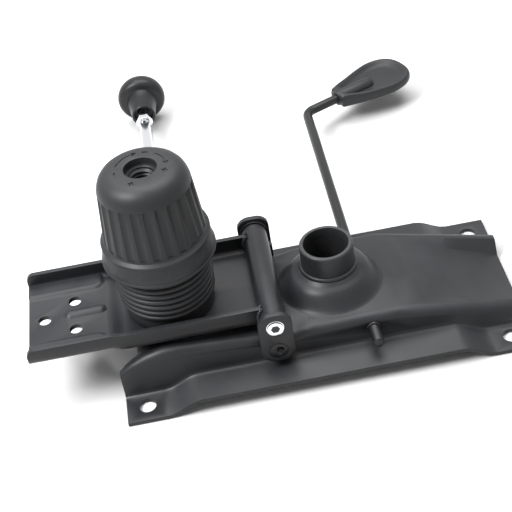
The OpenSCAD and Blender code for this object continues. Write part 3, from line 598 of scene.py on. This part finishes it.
def weld_bead(name, y, last_deg):
    points = []
    for i in range(WELD_POINTS):
        turn = math.radians(WELD_FROM + (last_deg - WELD_FROM) * i / (WELD_POINTS - 1))
        points.append((pivot_axis.x + WELD_AT * MM * math.cos(turn), y * MM,
                       pivot_axis.z + WELD_AT * MM * math.sin(turn),
                       1 + SWELL * math.sin(2 * math.pi * i / SWELL_EVERY)))
    return finish_piece(round_wire(name, points, WELD_R * MM, 3), "back", coated_tube, smooth_deg=80)


for side, side_name in SIDES:
    weld_bead("weld_outer_" + side_name, side * (wall_out + OUTSIDE), OUTER_TO)
    weld_bead("weld_inner_" + side_name, side * (wall_out - INSIDE), INNER_TO)
print("welds on the tube at y =", round(wall_out, 1), "mm")

# %% [markdown]
# Along each wall of the tray a long band is pressed up, which stiffens the bolted end. A press gives it soft
# slopes, softer than a bevel can. Each one is a grid of points laid on the tray floor, and its height falls
# off smoothly round a box with rounded corners, so that the band grows out of the sheet and into the wall.

# %% Press the two bands
BAND_L, BAND_FROM, BAND_TO = 49.0, 19.4, 34.6
BAND_H, BAND_SLOPE, BAND_CORNER = 1.9, 3.6, 7.0
BAND_START, BAND_SUNK = 0.6, 0.05


def pressed_band(name, side, step_mm=0.8):
    columns, rows = round(BAND_L / step_mm), round((BAND_TO - BAND_FROM) / step_mm)
    deselect_all()
    bpy.ops.mesh.primitive_grid_add(x_subdivisions=columns, y_subdivisions=rows, size=1)
    piece = bpy.context.object
    piece.name = name
    for vertex in piece.data.vertices:
        x = (vertex.co.x + 0.5) * BAND_L
        y = side * (BAND_FROM + BAND_TO) / 2 + vertex.co.y * (BAND_TO - BAND_FROM)
        past_end = x - BAND_L + BAND_CORNER
        past_edge = BAND_FROM + BAND_CORNER - abs(y)
        outside = math.hypot(max(past_end, 0), max(past_edge, 0)) + min(max(past_end, past_edge), 0)
        rise = BAND_H * ease((BAND_CORNER - outside) / BAND_SLOPE)
        vertex.co = ((tray_end + BAND_START + x) * MM, y * MM, (TRAY_FLOOR + rise - BAND_SUNK) * MM)
    return finish_piece(piece, "back", coated_steel, smooth_deg=80)


pressed_band("pressed_band_far", 1)
pressed_band("pressed_band_near", -1)
print("pressed bands on the tray, from x =", round(tray_end, 1))

# %% [markdown]
# Each ear carries two fasteners. The bright one is a socket screw, whose hexagon hole is filled by a dark
# solid, painted shade for the hole. The pin below it is painted over: a dark ring is painted shade for its
# joint line, and a dark block is painted shade in the corner where it was staked.

# %% Screw sockets and painted pins
HEX_R, HEX_DEPTH = 3.7, 2.2
JOINT_IN, JOINT_OUT, JOINT_DEPTH, JOINT_PROUD = 5.6, 6.35, 0.6, 0.06
STAKE_R, STAKE_FROM, STAKE_TO = 2.1, 1.9, 0.16
dress("link_pins", "base", coated_tube, 0.2)
# This near-black material is painted shade for the pin's joint line and its staked corner
painted_joint_shade = moulded("painted_joint_and_stake_shade", "#08080a", 0.7)
pin_low, pin_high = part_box("link_pins")
pin_axis = (pin_low + pin_high) / 2
stake_at = Vector((pin_axis.x + 1.2 * MM, 0, pin_axis.z - 0.6 * MM))


def prism(name, corners, radius, centre, low, high, side, turn):
    ring = [(centre.x + radius * MM * math.cos(turn + 2 * math.pi * i / corners),
             centre.z + radius * MM * math.sin(turn + 2 * math.pi * i / corners)) for i in range(corners)]
    points = [(x, side * low * MM, z) for x, z in ring] + [(x, side * high * MM, z) for x, z in ring]
    faces = [list(range(corners)), list(range(corners, 2 * corners))]
    faces += [[i, (i + 1) % corners, corners + (i + 1) % corners, corners + i] for i in range(corners)]
    mesh = bpy.data.meshes.new(name)
    mesh.from_pydata(points, [], faces)
    piece = add_piece(name, mesh)
    close_shell(piece)
    return piece


joint_low, joint_high = link_face - JOINT_DEPTH, link_face + JOINT_PROUD
joint_section = [(JOINT_IN, joint_low), (JOINT_OUT, joint_low), (JOINT_OUT, joint_high), (JOINT_IN, joint_high)]
for side, side_name in SIDES:
    # Painted shade: a dark hexagon solid, flush with the ear, stands for the screw's socket hole
    socket = prism("screw_socket_" + side_name, 6, HEX_R, pivot_axis,
                   link_face - HEX_DEPTH, link_face + 0.1, side, turn=0.3)
    finish_piece(socket, "base", oxide_and_socket_shade)
    # Painted shade: a dark ring for the joint line round the pin
    joint = turned("pin_joint_" + side_name, joint_section, pin_axis, axis="Y", sign=side)
    finish_piece(joint, "base", painted_joint_shade)
    # Painted shade: a dark block inside the staked corner
    stake = prism("pin_stake_" + side_name, 4, STAKE_R, stake_at,
                  link_face - STAKE_FROM, link_face - STAKE_TO, side, turn=0.5)
    finish_piece(stake, "base", painted_joint_shade)
print("screw sockets and pin joints on both ears")

# %% [markdown]
# The paddle is a dished blade with a soft rim and a round sleeve for the rod. Its outline is one closed line
# round the blade. The rim, the slope and the floor of the dish are copies of that line, drawn in towards the
# middle and set at their own heights, and the rings between them are filled with faces. Each ring below is
# its share of the outline, its height, and whether it belongs to the underside, which rises to the tip.

# %% Model the paddle's blade
YAW = math.radians(24.0)
BLADE_L, BLADE_W, BLADE_T, DISH = 64.0, 41.0, 11.5, 3.6
WIDEST, MIDDLE, NECK_HALF = 0.64 * BLADE_L, 0.58 * BLADE_L, 7.6
RIM, UNDER = BLADE_T / 2 - 1.5, -BLADE_T / 2
TIP_RISE = 3.4
HUMP_H, HUMP_END, HUMP_L, HUMP_ABOVE = 1.3, 20, 16, 2.4
sleeve_at = Vector((57.2, 214.6, 21.5))
along = Vector((math.cos(YAW), math.sin(YAW), 0))
across = Vector((-math.sin(YAW), math.cos(YAW), 0))


def blade_half(x):
    if x > WIDEST:
        return BLADE_W / 2 * max(0.0, 1 - ((x - WIDEST) / (BLADE_L - WIDEST)) ** 2.5) ** 0.4
    share = x / WIDEST
    return NECK_HALF + (BLADE_W / 2 - NECK_HALF) * (0.45 * share + 0.55 * math.sin(math.pi / 2 * share))


stations = [WIDEST * i / 18 for i in range(19)]
stations += [WIDEST + (BLADE_L - WIDEST) * math.sin(math.radians(a)) for a in range(5, 90, 5)] + [BLADE_L]
outline = [(x, blade_half(x)) for x in stations] + [(x, -blade_half(x)) for x in reversed(stations[:-1])]
rings = [(0.80, UNDER, True), (0.93, UNDER + 0.2, True), (0.98, UNDER + 1.0, True), (1.0, UNDER + 2.4, True)]
rings += [(share, RIM - drop, False) for share, drop in (
    (1.0, 2.6), (0.985, 1.0), (0.95, 0.15), (0.91, 0), (0.87, 0.3), (0.81, 1.5), (0.73, 2.8),
    (0.62, DISH - 0.2), (0.45, DISH))]


def blade_point(x, v, share, height, is_under):
    if share < 1:
        x = MIDDLE + (x - MIDDLE) * share
    lift = 0
    if is_under:
        lift = TIP_RISE * x / BLADE_L
    elif height > HUMP_ABOVE:
        lift = HUMP_H * ease((HUMP_END - x) / HUMP_L)
    return tuple((sleeve_at + along * x + across * v * share + Vector((0, 0, height + lift))) * MM)


points = [blade_point(x, v, share, height, is_under) for share, height, is_under in rings for x, v in outline]
count = len(outline)
faces = [[k * count + i, k * count + (i + 1) % count, (k + 1) * count + (i + 1) % count, (k + 1) * count + i]
         for k in range(len(rings) - 1) for i in range(count)]
faces += [list(range(count)), [(len(rings) - 1) * count + i for i in range(count)]]
mesh = bpy.data.meshes.new("paddle_blade")
mesh.from_pydata(points, [], faces)
blade = add_piece("paddle_blade", mesh)
close_shell(blade, 0.02)
finish_piece(blade, "gas_lever", paddle_nylon, ["lever_paddle"], smooth_deg=50)
print("paddle blade has", len(blade.data.polygons), "faces")

# %% [markdown]
# The sleeve is a round bar with a blind hole for the rod and a domed end that runs into the blade. It is
# turned upright, and one matrix then lays it along the rod. A thin dark ring in its mouth is painted shadow
# for the gap that the rod leaves, which the eye reads as two pieces pushed together.

# %% Turn the paddle's sleeve
SLEEVE_R, SLEEVE_L, SLEEVE_BORE, SLEEVE_STEPS = 5.75, 28, 4.1, 64
dome = [math.radians(a) for a in range(15, 90, 15)]
sleeve_section = [(0, 20), (SLEEVE_BORE, 20), (SLEEVE_BORE, 0.3), (4.4, -0.4), (5.5, -0.4), (SLEEVE_R, 0)]
sleeve_section += [(SLEEVE_R, SLEEVE_L)]
sleeve_section += [(SLEEVE_R * math.cos(a), SLEEVE_L + SLEEVE_R * math.sin(a)) for a in dome]
sleeve_section += [(0, SLEEVE_L + SLEEVE_R)]
mouth_section = [(3.45, -0.5), (4.45, -0.5), (4.45, 0.2), (3.45, 0.2)]
lay_along = Matrix.Translation(sleeve_at * MM) @ Matrix.Rotation(YAW, 4, "Z")
lay_along = lay_along @ Matrix.Rotation(math.radians(90), 4, "Y")
origin = Vector((0, 0, 0))
sleeve = turned("paddle_sleeve", sleeve_section, origin, steps=SLEEVE_STEPS)
sleeve.data.transform(lay_along)
finish_piece(sleeve, "gas_lever", paddle_nylon, ["lever_paddle"], smooth_deg=50)
# Painted shadow: a dark ring stands for the gap round the rod in the sleeve's mouth
gap_shadow_ring = turned("paddle_mouth", mouth_section, origin, steps=SLEEVE_STEPS)
gap_shadow_ring.data.transform(lay_along)
finish_piece(gap_shadow_ring, "gas_lever", rubber_and_gap_shadow)
print("paddle sleeve is", 2 * SLEEVE_R, "mm across")

# %% [markdown]
# The dust bellows is one rubber moulding that is turned round an axis. A lathe shape needs only half of its
# section, so the section is drawn as a line of points and spun. Each fold is a rounded ridge with a narrow
# dark gap under it, and the folds grow towards the knob.

# %% Spin the dust bellows
FOLDS, FOLD_DEPTH, RIDGE_R = 7, 2.4, 1.5
FOOT_BAND, TOP_BAND, FIRST_FOLD = 8.5, 4.5, 1.4
bellows_low, bellows_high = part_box("dust_bellows")
bolt_axis = (bellows_low + bellows_high) / 2
foot_z, top_z = bellows_low.z / MM, bellows_high.z / MM
top_radius = (bellows_high.x - bellows_low.x) / 2 / MM
foot_radius = top_radius - 2.8
wall_radius = 23.4
pitch = (top_z - TOP_BAND - foot_z - FOOT_BAND) / FOLDS

section = [(wall_radius, foot_z), (foot_radius - 0.4, foot_z), (foot_radius, foot_z + 0.4),
           (foot_radius + 0.2, foot_z + FOOT_BAND - 1.2)]
for fold in range(FOLDS):
    low = foot_z + FOOT_BAND + pitch * fold
    reach = foot_radius + FIRST_FOLD + (top_radius - foot_radius - FIRST_FOLD) * math.sqrt((fold + 0.5) / FOLDS)
    section.append((reach - FOLD_DEPTH, low + 0.1 * pitch))
    for degrees in range(-90, 91, 30):
        turn = math.radians(degrees)
        section.append((reach - RIDGE_R + RIDGE_R * math.cos(turn), low + pitch * (0.56 + 0.36 * math.sin(turn))))
section += [(top_radius - FOLD_DEPTH, top_z - TOP_BAND + 0.3), (top_radius - 0.8, top_z - TOP_BAND + 1.4),
            (top_radius - 0.6, top_z - 0.5), (top_radius - 1.1, top_z), (wall_radius, top_z)]
bellows = turned("bellows_folded", section, bolt_axis)
finish_piece(bellows, "base", bellows_rubber, ["dust_bellows"], smooth_deg=60)
bellows.parent = None
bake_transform(bellows)
print("bellows:", FOLDS, "folds, pitch", round(pitch, 2), "mm")

# %% [markdown]
# The tension spring hides under the bellows, but it shows from below when the bracket is tilted. It is one
# wire wound on a helix whose end coils lie flat. A curve with a round bevel is the natural way to make wire.
# The wire is made in two halves, a lower and an upper one.

# %% Wind the tension spring
spring_low, spring_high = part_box("tension_spring")
WIRE_MM = 5.5
TURNS = 6.5
POINTS_A_TURN = 28
wire_radius = WIRE_MM / 2 * MM
coil_radius = (spring_high.x - spring_low.x) / 2 - wire_radius
coil_height = spring_high.z - spring_low.z - 2 * wire_radius


def coil_share(share):
    flat = 1 / TURNS
    if share < flat:
        risen = 0.5 * share * share / flat
    elif share > 1 - flat:
        risen = 1 - flat - 0.5 * (1 - share) ** 2 / flat
    else:
        risen = share - 0.5 * flat
    return risen / (1 - flat)


def wire(name, first_share, last_share):
    total = round(TURNS * POINTS_A_TURN)
    points = []
    for i in range(round(first_share * total), round(last_share * total) + 1):
        share = i / total
        turn = 2 * math.pi * TURNS * share
        points.append((bolt_axis.x + coil_radius * math.cos(turn), coil_radius * math.sin(turn),
                       spring_low.z + wire_radius + coil_height * coil_share(share), 1))
    return round_wire(name, points, wire_radius, 4)


lower_wire = wire("spring_lower", 0, 0.5)
upper_wire = wire("spring_upper", 0.5, 1)
finish_piece(lower_wire, "base", spring_steel, ["tension_spring"])
finish_piece(upper_wire, "base", spring_steel, ["tension_spring"])
lower_wire.parent = None
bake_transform(lower_wire)
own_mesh(upper_wire)
print("spring:", TURNS, "turns of", WIRE_MM, "mm wire")

# %% [markdown]
# The bolt's end shows in the knob's top hole, and its thread is what makes that hole read as a screw joint.
# A thread is a small tooth that climbs one pitch a turn, which is what the Screw modifier does to a line.
# The plain shank, the head and a core inside the thread are one turned piece below it.

# %% Cut the tension bolt's thread
PITCH_MM, THREAD_MM, ROOT_MM, THREAD_L = 1.5, 5.0, 4.1, 30
bolt_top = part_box("tension_bolt")[1].z
thread_from = bolt_top - THREAD_L * MM


def thread(name, centre, low_z, high_z, root_mm, crest_mm, pitch_mm):
    turns = int((high_z - low_z) / (pitch_mm * MM)) - 1
    mesh = bpy.data.meshes.new(name)
    tooth = [(root_mm, 0), (crest_mm, 0.42 * pitch_mm), (crest_mm, 0.58 * pitch_mm), (root_mm, pitch_mm)]
    mesh.from_pydata([(centre.x + r * MM, centre.y, low_z + z * MM) for r, z in tooth], [(0, 1), (1, 2), (2, 3)], [])
    piece = add_piece(name, mesh)
    pivot = add_piece(name + "_axis", None)
    pivot.location = (centre.x, centre.y, 0)
    bpy.context.view_layer.update()
    apply_modifier(piece, "SCREW", object=pivot, axis="Z", angle=2 * math.pi, screw_offset=pitch_mm * MM,
                   iterations=turns, steps=32, render_steps=32, use_merge_vertices=True, merge_threshold=0.01 * MM)
    bpy.data.objects.remove(pivot)
    close_shell(piece, 0.01)
    return piece


shank = dress("tension_bolt", "base", zinc, 0.3)
for vertex in shank.data.vertices:
    away = math.hypot(vertex.co.x - bolt_axis.x, vertex.co.y)
    if vertex.co.z > thread_from and away > ROOT_MM * MM:
        shrink = (ROOT_MM - 0.02) * MM / away
        vertex.co.x = bolt_axis.x + (vertex.co.x - bolt_axis.x) * shrink
        vertex.co.y = vertex.co.y * shrink
bolt_thread = thread("bolt_thread", bolt_axis, thread_from, bolt_top - 0.4 * MM, ROOT_MM, THREAD_MM - 0.1, PITCH_MM)
finish_piece(bolt_thread, "base", oxide_and_socket_shade, smooth_deg=25)
print("bolt thread from", round(thread_from, 4), "to", round(bolt_top, 4))

# %% [markdown]
# The hand knob is one moulding with flutes. Its skirt is a little lower in the photograph than in the CAD
# model, so the copy's heights are drawn on a new scale between lip and crown, which keeps the flutes whole.
# The bore gets a ledge below its mouth and the coarse thread that the moulding has there.

# %% Dress the tension knob
CAD_SKIRT, SKIRT, CROWN, BODY_R = 18.0, 15.5, 11, 23
LEDGE_TOP, LEDGE_END = 4.5, 14.8
BORE_ROOT, BORE_CREST, BORE_PITCH = 7.75, 6.3, 2.6
knob_low, knob_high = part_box("tension_knob")
knob = merged_copy("tension_knob", "tension_knob_dressed")
shoulder = (knob_high.z - knob_low.z) / MM - CROWN
for vertex in knob.data.vertices:
    height = (vertex.co.z - knob_low.z) / MM
    away = math.hypot(vertex.co.x - bolt_axis.x, vertex.co.y) / MM
    if away > BODY_R:
        if height < CAD_SKIRT:
            height *= SKIRT / CAD_SKIRT
        elif height < shoulder:
            height = SKIRT + (height - CAD_SKIRT) * (shoulder - SKIRT) / (shoulder - CAD_SKIRT)
        vertex.co.z = knob_low.z + height * MM
round_edges(knob, 0.3)
finish_piece(knob, "knob", knob_nylon, ["tension_knob"])

crown = knob_high.z / MM
ledge_section = [(10.1, crown - LEDGE_TOP), (8.2, crown - LEDGE_TOP), (7.7, crown - 5.0), (7.7, crown - LEDGE_END),
                 (10.1, crown - LEDGE_END)]
ledge = turned("knob_bore_ledge", ledge_section, bolt_axis)
finish_piece(ledge, "knob", knob_nylon)
bore_thread = thread("knob_bore_thread", bolt_axis, (crown - 14.6) * MM, (crown - 3.2) * MM,
                     BORE_ROOT, BORE_CREST, BORE_PITCH)
finish_piece(bore_thread, "knob", knob_nylon, smooth_deg=25)
print("knob bore: ledge", round(crown - LEDGE_TOP, 1), "mm up")

# %% [markdown]
# The knob's top carries generic marks: two curved arrows, with plus and minus signs between them. They are
# sunk into the moulding, so they are made as small solids and taken away from the knob with a Boolean
# modifier. Only the shadow in the groove shows them. Their places are degrees round the knob, and a sign's
# second number is the way its bar leans, so that a plus is two bars in one place.

# %% Sink the marks into the knob
MARK_DEPTH, STROKE, SIGN_L, HEAD_STROKE_L = 0.6, 1.0, 3.6, 3.0
ARC_RADIUS, ARC_W, ARC_STEPS = 15.2, STROKE * 0.6, 24
CUTTER_T, HEAD_BACK, HEAD_OPEN = 3, 1.3, 150
ARCS = ((96, 160), (0, 52))
SIGNS = ((188, 98), (75, -15), (-24, -24), (-24, 66), (246, -24), (246, 66))


def bar(length, width, centre, turn):
    bpy.ops.mesh.primitive_cube_add(size=1)
    piece = bpy.context.object
    piece.scale = (length * MM, width * MM, CUTTER_T * MM)
    piece.rotation_euler = (0, 0, turn)
    piece.location = (bolt_axis.x + centre[0] * MM, centre[1] * MM, knob_high.z - MARK_DEPTH * MM + CUTTER_T / 2 * MM)
    bpy.ops.object.transform_apply(location=True, rotation=True, scale=True)
    return piece


def arc(first_deg, last_deg):
    angles = [first_deg + (last_deg - first_deg) * i / ARC_STEPS for i in range(ARC_STEPS + 1)]
    outer = [(ARC_RADIUS + ARC_W / 2, a) for a in angles]
    inner = [(ARC_RADIUS - ARC_W / 2, a) for a in reversed(angles)]
    mesh = bpy.data.meshes.new("mark_arc")
    points = [(bolt_axis.x + r * MM * math.cos(math.radians(a)), r * MM * math.sin(math.radians(a)),
               knob_high.z - MARK_DEPTH * MM) for r, a in outer + inner]
    mesh.from_pydata(points, [], [list(range(len(points)))])
    piece = add_piece("mark_arc", mesh)
    apply_modifier(piece, "SOLIDIFY", thickness=CUTTER_T * MM, offset=1.0)
    close_shell(piece)
    return piece


def spot(degrees):
    return (ARC_RADIUS * math.cos(math.radians(degrees)), ARC_RADIUS * math.sin(math.radians(degrees)))


def arrow_head(degrees):
    heads = []
    for side in (-1, 1):
        lean = math.radians(degrees) + math.pi / 2 + math.pi + side * math.radians(HEAD_OPEN)
        end = spot(degrees)
        middle = (end[0] + HEAD_BACK * math.cos(lean), end[1] + HEAD_BACK * math.sin(lean))
        heads.append(bar(HEAD_STROKE_L, STROKE * 0.8, middle, lean))
    return heads


marks = [arc(first, last) for first, last in ARCS]
for first, _ in ARCS:
    marks += arrow_head(first)
marks += [bar(SIGN_L, STROKE, spot(at), math.radians(turn)) for at, turn in SIGNS]
for mark in marks:
    apply_modifier(knob, "BOOLEAN", object=mark, operation="DIFFERENCE", solver="EXACT")
    bpy.data.objects.remove(mark)
make_active(knob)
bpy.ops.object.shade_smooth_by_angle(angle=math.radians(SMOOTH_DEG))
print("knob has", len(knob.data.polygons), "faces after the marks")

# %% [markdown]
# Two soft boxes do the work of a product studio: a wide one over the part and behind it, which draws the
# highlights on what faces up, and a small one high at the left, which models the walls. A dim white world
# fills the rest. What the camera sees behind the part is white without any more light falling on the part,
# by asking the Light Path node which ray is asking: one from the camera, a mirror or glass sees white.

# %% Light and background
WORLD_FILL = 0.24
WHITE = (1, 1, 1, 1)
scene = bpy.context.scene
scene.view_settings.view_transform = "Standard"


def ray_that_shows(tree):
    path = add_node(tree, "ShaderNodeLightPath")
    mirrored = add_node(tree, "ShaderNodeMath", {
        0: path.outputs["Is Camera Ray"], 1: path.outputs["Is Glossy Ray"]}, operation="MAXIMUM")
    shows = add_node(tree, "ShaderNodeMath", {
        0: mirrored.outputs["Value"], 1: path.outputs["Is Transmission Ray"]}, operation="MAXIMUM")
    return shows.outputs["Value"]


def soft_box(name, place, aim, size, power):
    bpy.ops.object.light_add(type="AREA", location=place)
    lamp = bpy.context.object
    lamp.name = name
    lamp.data.shape = "RECTANGLE"
    lamp.data.size, lamp.data.size_y = size
    lamp.data.energy = power
    direction = Vector(aim) - Vector(place)
    lamp.rotation_euler = direction.to_track_quat("-Z", "Y").to_euler()


world = bpy.data.worlds.new("studio")
scene.world = world
world.use_nodes = True
sky = world.node_tree
sky.nodes.clear()
fill = add_node(sky, "ShaderNodeBackground", {"Color": WHITE, "Strength": WORLD_FILL})
white = add_node(sky, "ShaderNodeBackground", {"Color": WHITE, "Strength": 1.0})
mixed = add_node(sky, "ShaderNodeMixShader", {
    0: ray_that_shows(sky), 1: fill.outputs["Background"], 2: white.outputs["Background"]})
add_node(sky, "ShaderNodeOutputWorld", {"Surface": mixed.outputs["Shader"]})
soft_box("soft_box_over", (0.02, 0.3, 1.0), (-0.02, 0.0, 0.03), (1.0, 0.8), 11.5)
soft_box("soft_box_front", (-0.62, -0.2, 0.86), (-0.02, 0.0, 0.05), (0.4, 0.4), 11)

# %% [markdown]
# The part stands on matt white paper, which takes its shadow. The paper throws little light back up, as a
# dark bench would, and fades to plain white further off, where no lamp reaches.

# %% Paper floor
FLOOR_BOUNCE = 0.25
FLOOR_SIZE, FLOOR_GAP = 6, 0.0006
FADE_FROM, FADE_TO = 0.32, 0.8

bpy.ops.mesh.primitive_plane_add(size=FLOOR_SIZE, location=(0, 0, -FLOOR_GAP))
floor = bpy.context.object
floor.name = "studio_floor"
floor_material, floor_tree, floor_shader, floor_place = new_material("matt_white_paper")
fibre = add_node(floor_tree, "ShaderNodeTexNoise", {"Vector": floor_place, "Scale": 1 / (3 * MM), "Detail": 2.0})
paper = add_node(floor_tree, "ShaderNodeMapRange", {"Value": fibre.outputs["Fac"], "To Min": 0.9, "To Max": 0.92})
floor_shown = ray_that_shows(floor_tree)
floor_tone = add_node(floor_tree, "ShaderNodeMapRange", {
    "Value": floor_shown, "To Min": FLOOR_BOUNCE, "To Max": paper.outputs["Result"]})
floor_tree.links.new(floor_tone.outputs["Result"], floor_shader.inputs["Base Color"])
floor_shader.inputs["Roughness"].default_value = 0.9
far_off = add_node(floor_tree, "ShaderNodeVectorMath", {0: floor_place}, operation="LENGTH")
fade = add_node(floor_tree, "ShaderNodeMapRange", {
    "Value": far_off.outputs["Value"], "From Min": FADE_FROM, "From Max": FADE_TO})
fade_shown = add_node(floor_tree, "ShaderNodeMath", {0: fade.outputs["Result"], 1: floor_shown}, operation="MULTIPLY")
far_white = add_node(floor_tree, "ShaderNodeEmission", {"Color": WHITE, "Strength": 1.0})
floor_mix = add_node(floor_tree, "ShaderNodeMixShader", {
    0: fade_shown.outputs["Value"], 1: floor_shader.outputs["BSDF"], 2: far_white.outputs["Emission"]})
floor_out = next(n for n in floor_tree.nodes if n.type == "OUTPUT_MATERIAL")
floor_tree.links.new(floor_mix.outputs["Shader"], floor_out.inputs["Surface"])
floor.data.materials.append(floor_material)
print("floor fades to white from", FADE_FROM, "to", FADE_TO, "m away")
